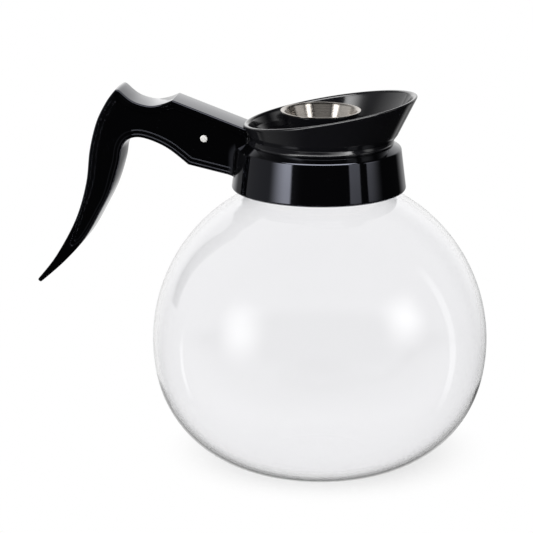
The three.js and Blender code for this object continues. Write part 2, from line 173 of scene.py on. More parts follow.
backdrop = node(tree, "Math", {0: white_wall, 1: paleness}, operation="MULTIPLY")
left_wall = node(tree, "MapRange", {
    "Value": axes["X"], "From Min": -LEFT_FROM, "From Max": -LEFT_TO,
    "To Min": FRONT_DARK, "To Max": LEFT_GREY,
}, interpolation_type="SMOOTHSTEP")
room = node(tree, "Math", {0: backdrop, 1: left_wall}, operation="MAXIMUM")
print("room with", len(tree.nodes), "nodes")

# %% [markdown]
# The world is white where the camera looks. Through the glass it is white behind and below, and greyer
# towards the front. Light Path tells these rays from reflections, so each can see a world of its own.

# %% World
SWEEP_EDGE, SWEEP_FULL = -0.2, 0.55
SWEEP_GREY = 0.3
TABLE_FALL = -3.0

path = node(tree, "LightPath").outputs
table = node(tree, "Math", {0: axes["Z"], 1: TABLE_FALL}, operation="MULTIPLY")
white_side = node(tree, "Math", {0: behind, 1: table}, operation="MAXIMUM")
sweep = node(tree, "MapRange", {
    "Value": white_side, "From Min": SWEEP_EDGE, "From Max": SWEEP_FULL, "To Min": SWEEP_GREY,
}, interpolation_type="SMOOTHSTEP")
through = node(tree, "Math", {0: sweep, 1: path["Is Transmission Ray"]}, operation="MULTIPLY")
seen = node(tree, "Math", {0: path["Is Camera Ray"], 1: through}, operation="MAXIMUM")
strength = node(tree, "Math", {0: seen, 1: room}, operation="MAXIMUM")
light = node(tree, "Background", {"Color": linear("#ffffff"), "Strength": strength})
node(tree, "OutputWorld", {"Surface": light})
print("world with", len(tree.nodes), "nodes")

# %% [markdown]
# The lamps are softboxes: flat panels that show in the gloss as bright shapes, and fade towards their
# edges as cloth over a bulb does. Blender's area lamp is just that, and nodes on it can dim its edges.

# %% Helper for softboxes
LAMP_AIM = Vector((0, 0, 0.1))


def softbox(name, azimuth, elevation, distance, width, height, brightness, fade=(0.0, 0.0, 0.0)):
    """An area lamp turned to the carafe: degrees to the right of the camera, degrees up, and metres off.
    Brightness is what its face shows, where 1 is white, and fade is the share of the face over which it
    dims towards its left, its right, and its top and bottom."""
    lamp = bpy.data.lights.new(name, "AREA")
    lamp.shape = "RECTANGLE"
    lamp.size = width
    lamp.size_y = height
    lamp.energy = brightness * math.pi * width * height
    lamp.use_nodes = True
    tree = lamp.node_tree
    tree.nodes.clear()
    spread = node(tree, "NewGeometry").outputs["Parametric"]
    face = node(tree, "SeparateXYZ", {"Vector": spread}).outputs
    left, right, ends = fade
    dimmed = 1.0
    for axis, start, end in (("X", 0, left), ("X", 1, 1 - right), ("Y", 0, ends), ("Y", 1, 1 - ends)):
        if start != end:
            step = node(tree, "MapRange", {
                "Value": face[axis], "From Min": start, "From Max": end,
            }, interpolation_type="SMOOTHSTEP")
            dimmed = node(tree, "Math", {0: step, 1: dimmed}, operation="MULTIPLY")
    glow = node(tree, "Emission", {"Strength": dimmed})
    node(tree, "OutputLight", {"Surface": glow})
    box = bpy.data.objects.new(name, lamp)
    scene.collection.objects.link(box)
    turn, rise = math.radians(azimuth), math.radians(elevation)
    level = to_right * math.sin(turn) - level_away * math.cos(turn)
    box.location = LAMP_AIM + (level * math.cos(rise) + Vector((0, 0, math.sin(rise)))) * distance
    box.rotation_euler = (LAMP_AIM - box.location).to_track_quat("-Z", "Y").to_euler()
    box.visible_camera = False
    box.visible_transmission = False
    return box


print("lamps face", [round(c, 2) for c in LAMP_AIM])

# %% [markdown]
# One lamp stands at the front left and a weaker pair at the right. Two hang overhead and draw the fine
# lines along the upper edges, and one stands behind for the top of the handle. Light linking, further
# down, keeps these off the glass, as a polarising filter would. Glass, spout and steel cone get lamps of
# their own, and a fill that hides from reflections lights what is matt.

# %% Softboxes
front_fill = softbox("front_fill", 5, 45, 1.2, 0.9, 0.9, 4.0)
front_fill.visible_glossy = False
left_softbox = softbox("left_softbox", -54, 13, 1.1, 0.66, 0.90, 7.5, (0.75, 0.12, 0.45))
off_glass = [
    softbox("right_softbox", 46, 14, 1.1, 0.34, 0.80, 2.2, (0.1, 0.1, 0.4)),
    softbox("right_fall_off", 78, 14, 1.1, 0.55, 0.80, 2.2, (0.05, 0.85, 0.4)),
    softbox("high_behind", 180, 20, 1.2, 1.10, 0.62, 0.8, (0.7, 0.2, 0.1)),
]
in_spout = [
    softbox("spout_streak", -47.5, 27, 1.1, 0.50, 0.40, 8.0, (0.9, 0.03, 0.2)),
    softbox("spout_left", -110, 20, 1.1, 1.50, 0.50, 0.9, (0.05, 0.7, 0.2)),
    softbox("spout_right", 118, 15, 1.1, 0.95, 0.50, 1.5, (0.9, 0.05, 0.2)),
]
in_liner = [
    softbox("liner_front", -6, 35, 1.1, 1.05, 0.60, 0.36, (0.05, 0.05, 0.2)),
    softbox("liner_streak_left", -58, 30, 1.1, 0.32, 0.80, 4.4, (0.3, 0.1, 0.1)),
    softbox("liner_left", -95, 24, 1.1, 1.00, 0.70, 0.45, (0.1, 0.1, 0.2)),
    softbox("liner_streak_right", 45, 31, 1.1, 0.28, 0.80, 4.4, (0.1, 0.3, 0.1)),
    softbox("liner_right", 78, 26, 1.1, 0.75, 0.70, 0.8, (0.1, 0.1, 0.2)),
]
overhead_trim = softbox("overhead_trim", 0, 68, 0.9, 1.10, 0.70, 9.0)
overhead_handle = softbox("overhead_handle", 0, 70, 0.9, 1.20, 0.70, 3.0)
for overhead in (overhead_trim, overhead_handle):
    overhead.visible_diffuse = False
on_glass = [
    softbox("left_glow", -56.3, 11, 1.1, 0.84, 0.90, 4.2, (0.5, 0.5, 0.5)),
    softbox("right_glow", 60.5, 16.3, 1.1, 0.84, 0.80, 4.3, (0.5, 0.5, 0.5)),
    softbox("left_strip", -105, -18, 1.0, 0.08, 0.60, 1.2, (0.3, 0.3, 0.4)),
    softbox("right_strip", 97, 0, 1.0, 0.16, 1.60, 1.3, (0.3, 0.3, 0.3)),
]

# %% [markdown]
# The floor is a small round of white paper. Near the carafe it is half a matt surface, so the shadow falls
# on it, and further out it turns to plain white wherever it is looked at, so no edge shows. Through the
# glass it is white too, as the real table is once its light has gone all round, and greys a little towards
# the front. One material can do all of that, because it knows which ray looks at it and where.

# %% Matt paper
SHADOW_BACK, SHADOW_RIGHT = 0.018, 0.004
SHADOW_FROM, SHADOW_TO = 0.018, 0.085
SHADOW_WHITENED = 0.5
FRONT_FROM, FRONT_TO = 0.04, 0.115
FRONT_GREY = 0.9
PAPER_FIBRE = 1.5


def empty_material(name):
    """A new material with no nodes in it yet."""
    material = bpy.data.materials.new(name)
    material.use_nodes = True
    material.node_tree.nodes.clear()
    return material


paper = empty_material("matt_white_paper")
tree = paper.node_tree
spot = node(tree, "TexCoord").outputs["Object"]
path = node(tree, "LightPath").outputs
fibres = node(tree, "TexNoise", {"Vector": spot, "Scale": 1 / (PAPER_FIBRE * MM), "Detail": 3.0})
nap = node(tree, "Bump", {"Height": fibres, "Strength": 0.1, "Distance": 0.05 * MM})
matt = node(tree, "BsdfPrincipled", {
    "Base Color": linear("#f4f4f5"), "Roughness": 0.95, "Specular IOR Level": 0.0, "Normal": nap,
})
forward = node(tree, "VectorMath", {0: spot, 1: -level_away}, operation="DOT_PRODUCT")
towards_front = node(tree, "MapRange", {
    "Value": forward.outputs["Value"], "From Min": FRONT_FROM, "From Max": FRONT_TO,
    "To Min": 1.0, "To Max": FRONT_GREY,
}, interpolation_type="SMOOTHSTEP")
whiteness = node(tree, "Math", {0: path["Is Camera Ray"], 1: towards_front}, operation="MAXIMUM")
glow = node(tree, "Emission", {"Color": linear("#ffffff"), "Strength": whiteness})
shadow_middle = level_away * SHADOW_BACK + to_right * SHADOW_RIGHT
reach = node(tree, "VectorMath", {0: spot, 1: shadow_middle}, operation="DISTANCE")
far_off = node(tree, "MapRange", {
    "Value": reach.outputs["Value"], "From Min": SHADOW_FROM, "From Max": SHADOW_TO,
    "To Min": SHADOW_WHITENED,
}, interpolation_type="SMOOTHSTEP")
direct = node(tree, "Math", {0: path["Is Camera Ray"], 1: far_off}, operation="MULTIPLY")
whitened = node(tree, "Math", {0: direct, 1: path["Is Transmission Ray"]}, operation="MAXIMUM")
both = node(tree, "MixShader", {"Fac": whitened, 1: matt, 2: glow})
node(tree, "OutputMaterial", {"Surface": both})
print("paper", paper.name, "with", len(tree.nodes), "nodes")

# %% [markdown]
# The round itself lies a hair below the carafe's foot, so that the two never share a plane. Mirrors do not
# see it, because its rim would show in them: they see the world's own table.

# %% Floor
FLOOR_RADIUS = 0.115
FLOOR_SIDES = 96
FLOOR_DROP = 0.02

disc = bpy.data.meshes.new("floor")
work = bmesh.new()
bmesh.ops.create_circle(work, cap_ends=True, radius=FLOOR_RADIUS, segments=FLOOR_SIDES)
work.to_mesh(disc)
work.free()
disc.materials.append(paper)
floor = bpy.data.objects.new("floor", disc)
floor.location.z = -FLOOR_DROP * MM
floor.visible_glossy = False
scene.collection.objects.link(floor)
floor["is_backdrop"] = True
print("floor", round(2 * FLOOR_RADIUS, 2), "m across")

# %% [markdown]
# The globe is blown borosilicate, fire-polished on its rim: clear, colourless and quite smooth, with slow
# waves left by the blowing that bend what is seen through it. The waves are a faint bump, a few
# centimetres long. A real wall thickness on the mesh gives the bright and dark lines at its edge.

# %% Borosilicate glass
BLOW_WAVE = 34.0

glass = empty_material("blown_borosilicate_glass")
tree = glass.node_tree
spot = node(tree, "TexCoord").outputs["Object"]
waves = node(tree, "TexNoise", {"Vector": spot, "Scale": 1 / (BLOW_WAVE * MM), "Detail": 1.0})
ripple = node(tree, "Bump", {"Height": waves, "Strength": 0.1, "Distance": 0.05 * MM})
clear = node(tree, "BsdfPrincipled", {
    "Base Color": linear("#fafafb"), "Roughness": 0.0, "IOR": 1.473, "Transmission Weight": 1.0,
    "Normal": ripple,
})
node(tree, "OutputMaterial", {"Surface": clear})
print("glass", glass.name, "with", len(tree.nodes), "nodes")

# %% [markdown]
# Collar and handle are ABS moulded in a polished tool. The eye sees deep black with mirror-like lights
# that waver a little, because moulded walls sink slightly as they cool, and a haze of fine rubbing marks
# from wiping. The sink is a slow bump, and the marks vary the roughness.

# %% Polished ABS
SINK_WAVE = 14.0
RUB_MARK = 0.8
RUB_LENGTH = 9.0
RUB_TURN = (0.5, 0.3, 0.9)

polished_abs = empty_material("polished_moulded_abs")
tree = polished_abs.node_tree
spot = node(tree, "TexCoord").outputs["Object"]
sinks = node(tree, "TexNoise", {"Vector": spot, "Scale": 1 / (SINK_WAVE * MM), "Detail": 1.0})
sunk = node(tree, "Bump", {"Height": sinks, "Strength": 0.4, "Distance": 0.06 * MM})
stretch = node(tree, "Mapping", {
    "Vector": spot, "Rotation": RUB_TURN,
    "Scale": [1 / (size * MM) for size in (RUB_LENGTH, RUB_MARK, RUB_MARK)],
})
rubbing = node(tree, "TexNoise", {"Vector": stretch, "Scale": 1.0, "Detail": 4.0})
sheen = node(tree, "MapRange", {
    "Value": rubbing, "From Min": 0.35, "From Max": 0.75, "To Min": 0.03, "To Max": 0.09,
})
gloss = node(tree, "BsdfPrincipled", {
    "Base Color": linear("#050506"), "Roughness": sheen, "IOR": 1.58,
    "Specular Tint": linear("#e8ecff"), "Normal": sunk,
})
node(tree, "OutputMaterial", {"Surface": gloss})
print("plastic", polished_abs.name, "with", len(tree.nodes), "nodes")

# %% [markdown]
# Spout and funnel cup are polypropylene, a softer plastic that leaves the tool with a satin skin. Lights
# on it spread into broad soft bands. A fine grain carries that, drawn a little coarser than the real one,
# which would be too small to show.

# %% Satin polypropylene
SATIN_GRAIN = 0.9
SATIN_CLOUD = 11.0

satin_pp = empty_material("satin_moulded_polypropylene")
tree = satin_pp.node_tree
spot = node(tree, "TexCoord").outputs["Object"]
grain = node(tree, "TexNoise", {"Vector": spot, "Scale": 1 / (SATIN_GRAIN * MM), "Detail": 3.0})
grained = node(tree, "Bump", {"Height": grain, "Strength": 0.15, "Distance": 0.01 * MM})
clouds = node(tree, "TexNoise", {"Vector": spot, "Scale": 1 / (SATIN_CLOUD * MM), "Detail": 3.0})
skin_sheen = node(tree, "MapRange", {
    "Value": clouds, "From Min": 0.3, "From Max": 0.7, "To Min": 0.09, "To Max": 0.14,
})
satin = node(tree, "BsdfPrincipled", {
    "Base Color": linear("#141417"), "Roughness": skin_sheen, "IOR": 1.49, "Normal": grained,
})
node(tree, "OutputMaterial", {"Surface": satin})
print("plastic", satin_pp.name, "with", len(tree.nodes), "nodes")

# %% [markdown]
# The funnel's liner is stainless sheet, spun to a cone and brushed while it turns. The brushing runs round
# the cone, so a light stretches across the scratches into an upright streak: that is anisotropy, with the
# tangent running round the axis. Fine rings of varied roughness are the scratches themselves, coarser than
# the real ones.

# %% Spun stainless steel
BRUSH_RING = 0.35
BRUSH_LENGTH = 14.0

spun_steel = empty_material("spun_brushed_stainless")
tree = spun_steel.node_tree
spot = node(tree, "TexCoord").outputs["Object"]
rings = node(tree, "Mapping", {
    "Vector": spot, "Scale": [1 / (size * MM) for size in (BRUSH_LENGTH, BRUSH_LENGTH, BRUSH_RING)],
})
scratches = node(tree, "TexNoise", {"Vector": rings, "Scale": 1.0, "Detail": 4.0})
scratch_sheen = node(tree, "MapRange", {
    "Value": scratches, "From Min": 0.3, "From Max": 0.7, "To Min": 0.22, "To Max": 0.32,
})
scratched = node(tree, "Bump", {"Height": scratches, "Strength": 0.05, "Distance": 0.02 * MM})
tones = node(tree, "Mix", {
    "Factor": scratches, "A": linear("#c0bab3"), "B": linear("#cec8c1"),
}, data_type="RGBA")
round_axis = node(tree, "Tangent", direction_type="RADIAL", axis="Z")
brushed = node(tree, "BsdfPrincipled", {
    "Base Color": tones.outputs["Result"], "Metallic": 1.0, "Roughness": scratch_sheen,
    "Anisotropic": 0.95, "Anisotropic Rotation": 0.25, "Tangent": round_axis, "Normal": scratched,
})
node(tree, "OutputMaterial", {"Surface": brushed})
print("metal", spun_steel.name, "with", len(tree.nodes), "nodes")

# %% [markdown]
# The pin is a rod of white nylon, faced on a lathe. It shows as one small white disc with faint rings from
# the tool, which come from the distance to its own axis. A wave pattern of scale one has a ring every
# 0.314 of a metre, so that number brings the rings to their true size.

# %% Turned nylon
PIN_X, PIN_Z = -56.1, 164.492
LATHE_RING = 0.3
PLAIN_RING = 0.314

turned_nylon = empty_material("turned_white_nylon")
tree = turned_nylon.node_tree
spot = node(tree, "TexCoord").outputs["Object"]
from_axis = node(tree, "Mapping", {"Vector": spot, "Location": (-PIN_X * MM, 0, -PIN_Z * MM)})
turning = node(tree, "TexWave", {
    "Vector": from_axis, "Scale": PLAIN_RING / (LATHE_RING * MM), "Distortion": 0.4,
}, wave_type="RINGS", rings_direction="Y").outputs["Fac"]
faced = node(tree, "Bump", {"Height": turning, "Strength": 0.1, "Distance": 0.01 * MM})
turning_sheen = node(tree, "MapRange", {"Value": turning, "To Min": 0.25, "To Max": 0.4})
white_nylon = node(tree, "BsdfPrincipled", {
    "Base Color": linear("#f6f5f2"), "Roughness": turning_sheen, "IOR": 1.53, "Normal": faced,
})
node(tree, "OutputMaterial", {"Surface": white_nylon})
print("plastic", turned_nylon.name, "with", len(tree.nodes), "nodes")

# %% [markdown]
# Cushion and gasket are silicone rubber, moulded matt and slightly milky. They are hidden behind the
# collar and only show from below, so a soft matt skin with a fine mottle is enough.

# %% Silicone rubber
SILICONE_MOTTLE = 2.5

silicone = empty_material("moulded_silicone_rubber")
tree = silicone.node_tree
spot = node(tree, "TexCoord").outputs["Object"]
mottle = node(tree, "TexNoise", {"Vector": spot, "Scale": 1 / (SILICONE_MOTTLE * MM), "Detail": 3.0})
milky = node(tree, "Mix", {
    "Factor": mottle, "A": linear("#cfccc4"), "B": linear("#dedbd4"),
}, data_type="RGBA")
pores = node(tree, "Bump", {"Height": mottle, "Strength": 0.1, "Distance": 0.05 * MM})
rubber = node(tree, "BsdfPrincipled", {
    "Base Color": milky.outputs["Result"], "Roughness": 0.6, "IOR": 1.41, "Normal": pores,
})
node(tree, "OutputMaterial", {"Surface": rubber})
print("rubber", silicone.name, "with", len(tree.nodes), "nodes")

# %% [markdown]
# Most pieces here are turned or lofted: a profile goes round the axis, or one ring of points flows into
# the next. So one function lays a skin over rings of points, and a few small ones draw the rings. That
# gives even faces, which take smooth shading better than a primitive cut to shape.

# %% Helpers for rings
ROUND_SIDES = 256


def arc(centre, radius, start, end, steps):
    """Points of an arc in a profile, both ends included, with angles in radians."""
    turns = [start + (end - start) * i / steps for i in range(steps + 1)]
    return [Vector((centre[0] + radius * math.cos(t), centre[1] + radius * math.sin(t))) for t in turns]


def oval(front, back, side, height_at):
    """A ring of points with its reach each way, and a height for each x."""
    ring = []
    for i in range(ROUND_SIDES):
        angle = 2 * math.pi * i / ROUND_SIDES
        x = (front - back) / 2 + (front + back) / 2 * math.cos(angle)
        ring.append(Vector((x, side * math.sin(angle), height_at(x))))
    return ring


def circle(radius, height):
    """A level ring about the axis, or one point where the radius is nought."""
    if radius == 0:
        return [Vector((0, 0, height))]
    return oval(radius, radius, radius, lambda x: height)


def skin(rings, looped):
    """Points and faces of a skin over rings of points. A ring of one point closes it like a pole."""
    starts = [sum(len(ring) for ring in rings[:i]) for i in range(len(rings))]
    spans = [(i, (i + 1) % len(rings)) for i in range(len(rings) if looped else len(rings) - 1)]
    faces = []
    for low, high in spans:
        for j in range(max(len(rings[low]), len(rings[high]))):
            places = ((low, j), (low, j + 1), (high, j + 1), (high, j))
            corners = [starts[i] + k % len(rings[i]) for i, k in places]
            faces.append(list(dict.fromkeys(corners)))
    return [point for ring in rings for point in ring], faces


def turned(profile, looped):
    """The skin that a profile of (radius, height) points sweeps about the axis."""
    return skin([circle(point[0], point[1]) for point in profile], looped)


print("round pieces have", ROUND_SIDES, "sides")

# %% [markdown]
# Points and faces become an object here. Its faces are turned outwards, and its shading is smooth except
# at true edges, with normals weighted so that flat faces stay flat.

# %% Helpers for pieces
MERGE_DISTANCE = 0.001
CREASE, SOFT_CREASE = 40, 50


def solid(name, points, faces):
    """A mesh object from points in millimetres, with its faces turned outwards."""
    mesh = bpy.data.meshes.new(name)
    mesh.from_pydata([Vector(point) * MM for point in points], [], faces)
    work = bmesh.new()
    work.from_mesh(mesh)
    bmesh.ops.remove_doubles(work, verts=work.verts, dist=MERGE_DISTANCE * MM)
    bmesh.ops.recalc_face_normals(work, faces=work.faces)
    work.to_mesh(mesh)
    work.free()
    made = bpy.data.objects.new(name, mesh)
    scene.collection.objects.link(made)
    return made


def dress(piece, material, crease=CREASE):
    """Gives a piece its material and smooth shading, kept sharp at edges past the crease in degrees."""
    piece.data.materials.clear()
    piece.data.materials.append(material)
    piece.data.shade_smooth()
    piece.data.set_sharp_from_angle(angle=math.radians(crease))
    weighting = piece.modifiers.new("flat faces stay flat", "WEIGHTED_NORMAL")
    weighting.keep_sharp = True
    print(piece.name, len(piece.data.vertices), "points", len(piece.data.polygons), "faces")


print("edges past", CREASE, "degrees stay sharp")

# %% [markdown]
# The globe is a sphere that rounds off to a flat to stand on, with a neck and a bead round the mouth.
# It is one closed skin with an outside and an inside, so light bends at both, as it does in real glass.

# %% Glass globe
GLOBE_RADIUS = 82.5
GLOBE_CENTRE = 63.5
BASE_FLAT = 24.0
GLASS_WALL = 2.2
BASE_THICKNESS = 3.0
NECK_RADIUS = 32.0
NECK_FILLET = 5.0
NECK_LENGTH = 17.2
BEAD_PROUD = 1.2
BEAD_HEIGHT = 2.9
RIM_ROUND = 0.6
BASE_STEPS, SPHERE_STEPS, NECK_STEPS = 40, 56, 12
BEAD_STEPS, RIM_STEPS = 4, 5

fillet_reach = GLOBE_RADIUS + NECK_FILLET
neck_start = GLOBE_CENTRE + math.sqrt(fillet_reach ** 2 - (NECK_RADIUS + NECK_FILLET) ** 2)
rim_top = neck_start + NECK_LENGTH
neck_bore = NECK_RADIUS - GLASS_WALL
bead_radius = NECK_RADIUS + BEAD_PROUD


def globe_side(radius, base, fillet):
    """One side of the glass from the axis out and up: flat, rounding, sphere, fillet of the neck."""
    drop = GLOBE_CENTRE - base
    rounding = (radius ** 2 - BASE_FLAT ** 2 - drop ** 2) / (2 * (radius - drop))
    middle = base + rounding
    meets = math.atan2(middle - GLOBE_CENTRE, BASE_FLAT)
    leaves = math.atan2(neck_start - GLOBE_CENTRE, NECK_RADIUS + NECK_FILLET)
    return [
        Vector((0, base)),
        Vector((BASE_FLAT / 2, base)),
        *arc((BASE_FLAT, middle), rounding, -math.pi / 2, meets, BASE_STEPS),
        *arc((0, GLOBE_CENTRE), radius, meets, leaves, SPHERE_STEPS)[1:],
        *arc((NECK_RADIUS + NECK_FILLET, neck_start), fillet, leaves + math.pi, math.pi, NECK_STEPS)[1:],
    ]


rim = [
    Vector((NECK_RADIUS, rim_top - BEAD_HEIGHT)),
    *arc((NECK_RADIUS, rim_top - BEAD_HEIGHT + BEAD_PROUD), BEAD_PROUD, -math.pi / 4, 0, BEAD_STEPS),
    *arc((bead_radius - RIM_ROUND, rim_top - RIM_ROUND), RIM_ROUND, 0, math.pi / 2, RIM_STEPS),
    *arc((neck_bore + RIM_ROUND, rim_top - RIM_ROUND), RIM_ROUND, math.pi / 2, math.pi, RIM_STEPS),
]
outside = globe_side(GLOBE_RADIUS, 0.0, NECK_FILLET)
inside = globe_side(GLOBE_RADIUS - GLASS_WALL, BASE_THICKNESS, NECK_FILLET + GLASS_WALL)
globe = solid("globe", *turned([*outside, *rim, *reversed(inside)], False))
dress(globe, glass, SOFT_CREASE)
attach(globe, "carafe")
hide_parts("glass_globe")

# %% [markdown]
# Corners of a profile are eased, because no moulded or pressed edge is truly sharp and the small rounding
# is what catches the light. Slots and seats are cut with a boolean, which is applied at once.

# %% Helpers for profiles and cuts
EASE_STEPS = 6


def eased(corners, steps=EASE_STEPS):
    """A closed outline through corners (across, up, radius), with each corner rounded to its radius."""
    outline = []
    for i, (across, up, radius) in enumerate(corners):
        corner = Vector((across, up))
        if radius == 0:
            outline.append(corner)
            continue
        back = (Vector(corners[i - 1][:2]) - corner).normalized()
        ahead = (Vector(corners[(i + 1) % len(corners)][:2]) - corner).normalized()
        half = back.angle(ahead) / 2
        centre = corner + (back + ahead).normalized() * radius / math.sin(half)
        first = corner + back * radius / math.tan(half) - centre
        last = corner + ahead * radius / math.tan(half) - centre
        start = math.atan2(first.y, first.x)
        turn = (math.atan2(last.y, last.x) - start + math.pi) % (2 * math.pi) - math.pi
        outline += arc(centre, radius, start, start + turn, steps)
    return outline


def carve(piece, cutter):
    """Cuts one solid out of another for good, and throws the cutter away."""
    cut = piece.modifiers.new("cut", "BOOLEAN")
    cut.operation = "DIFFERENCE"
    cut.solver = "MANIFOLD"
    cut.object = cutter
    view = bpy.context.evaluated_depsgraph_get()
    carved = bpy.data.meshes.new_from_object(piece.evaluated_get(view))
    piece.modifiers.remove(cut)
    piece.data = carved
    bpy.data.objects.remove(cutter)


def prism(outline, low, high, lay):
    """A straight piece to cut with, an outline at each end. Lay gives a point its place at a depth."""
    points, faces = skin([[lay(point, depth) for point in outline] for depth in (low, high)], False)
    count = len(outline)
    return solid("prism", points, [*faces, list(range(count)), list(range(count, 2 * count))])


def upright(point, depth):
    """A place for outlines drawn as seen from above."""
    return Vector((point[0], point[1], depth))


print("an eased corner has", EASE_STEPS + 1, "points")

# %% [markdown]
# The collar hides the strap on the neck. It is a tapered skirt with a sloping shoulder and rounded edges,
# drawn out slightly towards the handle, and a slot at the back lets the ears of the strap through.

# %% Collar
COLLAR_TOP = 162.992
COLLAR_BOTTOM = 140.1
COLLAR_FOOT = 41.85
COLLAR_SHOULDER = 39.3
SHOULDER_DROP = 2.7
SHOULDER_ROUND = 1.2
LEDGE_ROUND = 2.4
COLLAR_LEDGE = 34.3
COLLAR_WALL = 2.4
COLLAR_BACK = 1.6
COLLAR_MOUTH = 33.6
FOOT_ROUND = 1.1
SKIRT_TOP = 156.792
MOUTH_ROUND, CEILING_ROUND, HEM_ROUND = 0.3, 0.5, 0.4
COLLAR_STEPS = 10
BAND_MIDDLE = 152.992
EAR_SLOT_WIDTH, EAR_SLOT_HEIGHT = 3.2, 8.0
SLOT_SPARE = 5.0


def collar_outside(margin):
    """Corners of the collar's outside, foot then shoulder then the ledge under the spout, pushed out."""
    return [
        (COLLAR_FOOT + margin, COLLAR_BOTTOM - margin, FOOT_ROUND),
        (COLLAR_SHOULDER + margin, COLLAR_TOP - SHOULDER_DROP + margin, SHOULDER_ROUND),
        (COLLAR_LEDGE + margin, COLLAR_TOP + margin, LEDGE_ROUND),
    ]


def collar_skin(profile):
    """The skin of a profile about the axis, stretched a little towards the handle."""
    rings = [circle(point[0], point[1]) for point in profile]
    for point in (point for ring in rings for point in ring if point.x < 0):
        point.x *= 1 + COLLAR_BACK / COLLAR_FOOT
    return skin(rings, True)


collar_profile = eased([
    *collar_outside(0),
    (COLLAR_MOUTH, COLLAR_TOP, 0.0),
    (COLLAR_MOUTH, SKIRT_TOP, MOUTH_ROUND),
    (COLLAR_SHOULDER - COLLAR_WALL, SKIRT_TOP, CEILING_ROUND),
    (COLLAR_FOOT - COLLAR_WALL, COLLAR_BOTTOM, HEM_ROUND),
], COLLAR_STEPS)
collar = solid("collar_moulding", *collar_skin(collar_profile))
slot_half = EAR_SLOT_WIDTH / 2
slot_low, slot_high = BAND_MIDDLE - EAR_SLOT_HEIGHT / 2, BAND_MIDDLE + EAR_SLOT_HEIGHT / 2
slot_back, slot_front = -COLLAR_FOOT - COLLAR_BACK - SLOT_SPARE, -COLLAR_MOUTH + SLOT_SPARE
ear_slot = [
    (slot_back, -slot_half), (slot_front, -slot_half), (slot_front, slot_half), (slot_back, slot_half),
]
carve(collar, prism(ear_slot, slot_low, slot_high, upright))
dress(collar, polished_abs)
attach(collar, "carafe")
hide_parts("collar")

# %% [markdown]
# The spout starts round at a small ring over the collar and flares to an oval rim, cut on a slant so that
# it is highest where it pours. Two ovals say most of that: the throat, which is level, and the rim, which
# lies on the slanted plane.

# %% Spout ovals
SPOUT_FOOT = 163.292
SPOUT_FOOT_RADIUS = 33.2
THROAT_RISE = 4.6
SPOUT_LEAD = 1.8
BACK_FLARE, SIDE_FLARE, FRONT_FLARE = 4.0, 4.8, 13.4
BACK_RISE, FRONT_RISE = 7.3, 22.4

throat_height = SPOUT_FOOT + THROAT_RISE


def spout_rim(inset):
    """The rim, drawn in by an inset, on the slanted plane through its front and back."""
    back = SPOUT_FOOT_RADIUS + BACK_FLARE
    front = SPOUT_FOOT_RADIUS + FRONT_FLARE
    side = SPOUT_FOOT_RADIUS + SIDE_FLARE
    slope = (FRONT_RISE - BACK_RISE) / (front + back)
    start = SPOUT_FOOT + BACK_RISE
    return oval(front - inset, back - inset, side - inset, lambda x: start + (x + back) * slope)


def spout_throat(inset):
    """The oval where the cone leaves its foot, drawn in by an inset."""
    reach = SPOUT_FOOT_RADIUS - inset
    front = reach + FRONT_FLARE * THROAT_RISE / FRONT_RISE + SPOUT_LEAD
    back = reach + BACK_FLARE * THROAT_RISE / BACK_RISE
    side = reach + SIDE_FLARE * THROAT_RISE / ((BACK_RISE + FRONT_RISE) / 2)
    return oval(front, back, side, lambda x: throat_height)


print("spout rises to", round(SPOUT_FOOT + FRONT_RISE, 1), "mm")

# %% [markdown]
# Straight lines run from the throat to the rim, so a loft between the two ovals gives the true surface.
# The lip is a half round between the outer wall and the inner one.

# %% Helpers for the spout
LOFT_STEPS, LIP_STEPS = 10, 12
RING_BLEND = 0.6


def between(low, high, share):
    """The ring part of the way from one ring to another."""
    return [a.lerp(b, share) for a, b in zip(low, high)]


def loft(low, high):
    """Rings in even steps from one ring to another, both included."""
    return [between(low, high, i / LOFT_STEPS) for i in range(LOFT_STEPS + 1)]


def swollen(ring, reach):
    """A ring pushed out to at least a reach from the axis, blended where the two are close."""
    moved = []
    for point in ring:
        level = Vector((point.x, point.y, 0))
        gap = level.length - reach
        wide = (level.length + reach + math.sqrt(gap ** 2 + RING_BLEND ** 2)) / 2
        moved.append(level.normalized() * wide + Vector((0, 0, point.z)))
    return moved


def lip_rings(outer, inner, throat):
    """A half round from the outer rim over to the inner one."""
    rings = []
    for i in range(1, LIP_STEPS):
        angle = math.pi * i / LIP_STEPS
        ring = []
        for out, within, low in zip(outer, inner, throat):
            across = (out - within) / 2
            rising = (out - low).normalized() * across.length
            ring.append((out + within) / 2 + across * math.cos(angle) + rising * math.sin(angle))
        rings.append(ring)
    return rings


print("lip in", LIP_STEPS, "steps")

# %% [markdown]
# Now the whole spout is one list of rings: up the outside from the plug that fits in the glass, over the
# lip, and down the inside past the ledge that the funnel stands on. The ring at its foot is pushed out of
# the cone, with a fillet above it.

# %% Pouring spout
SPOUT_WALL = 2.4
FLANGE_BOTTOM = 161.592
FOOT_RING_RADIUS = 35.9
FOOT_RING_DROP = 0.6
FOOT_RING_EDGE = 0.4
FOOT_RING_TOP = 2.1
FOOT_RING_ROUND = 0.75
RING_FILLET = 1.1
RING_UNDERCUT = 0.5
CONE_FRONT, CONE_BACK, CONE_SIDE = 34.6, 33.4, 32.7
SKIRT_LENGTH = 12.0
SPOUT_PLUG_RADIUS = 29.3
SPOUT_BORE = 27.3
SEAT_LEDGE = 163.992
SEAT_RADIUS = 30.8
RING_STEPS = 8

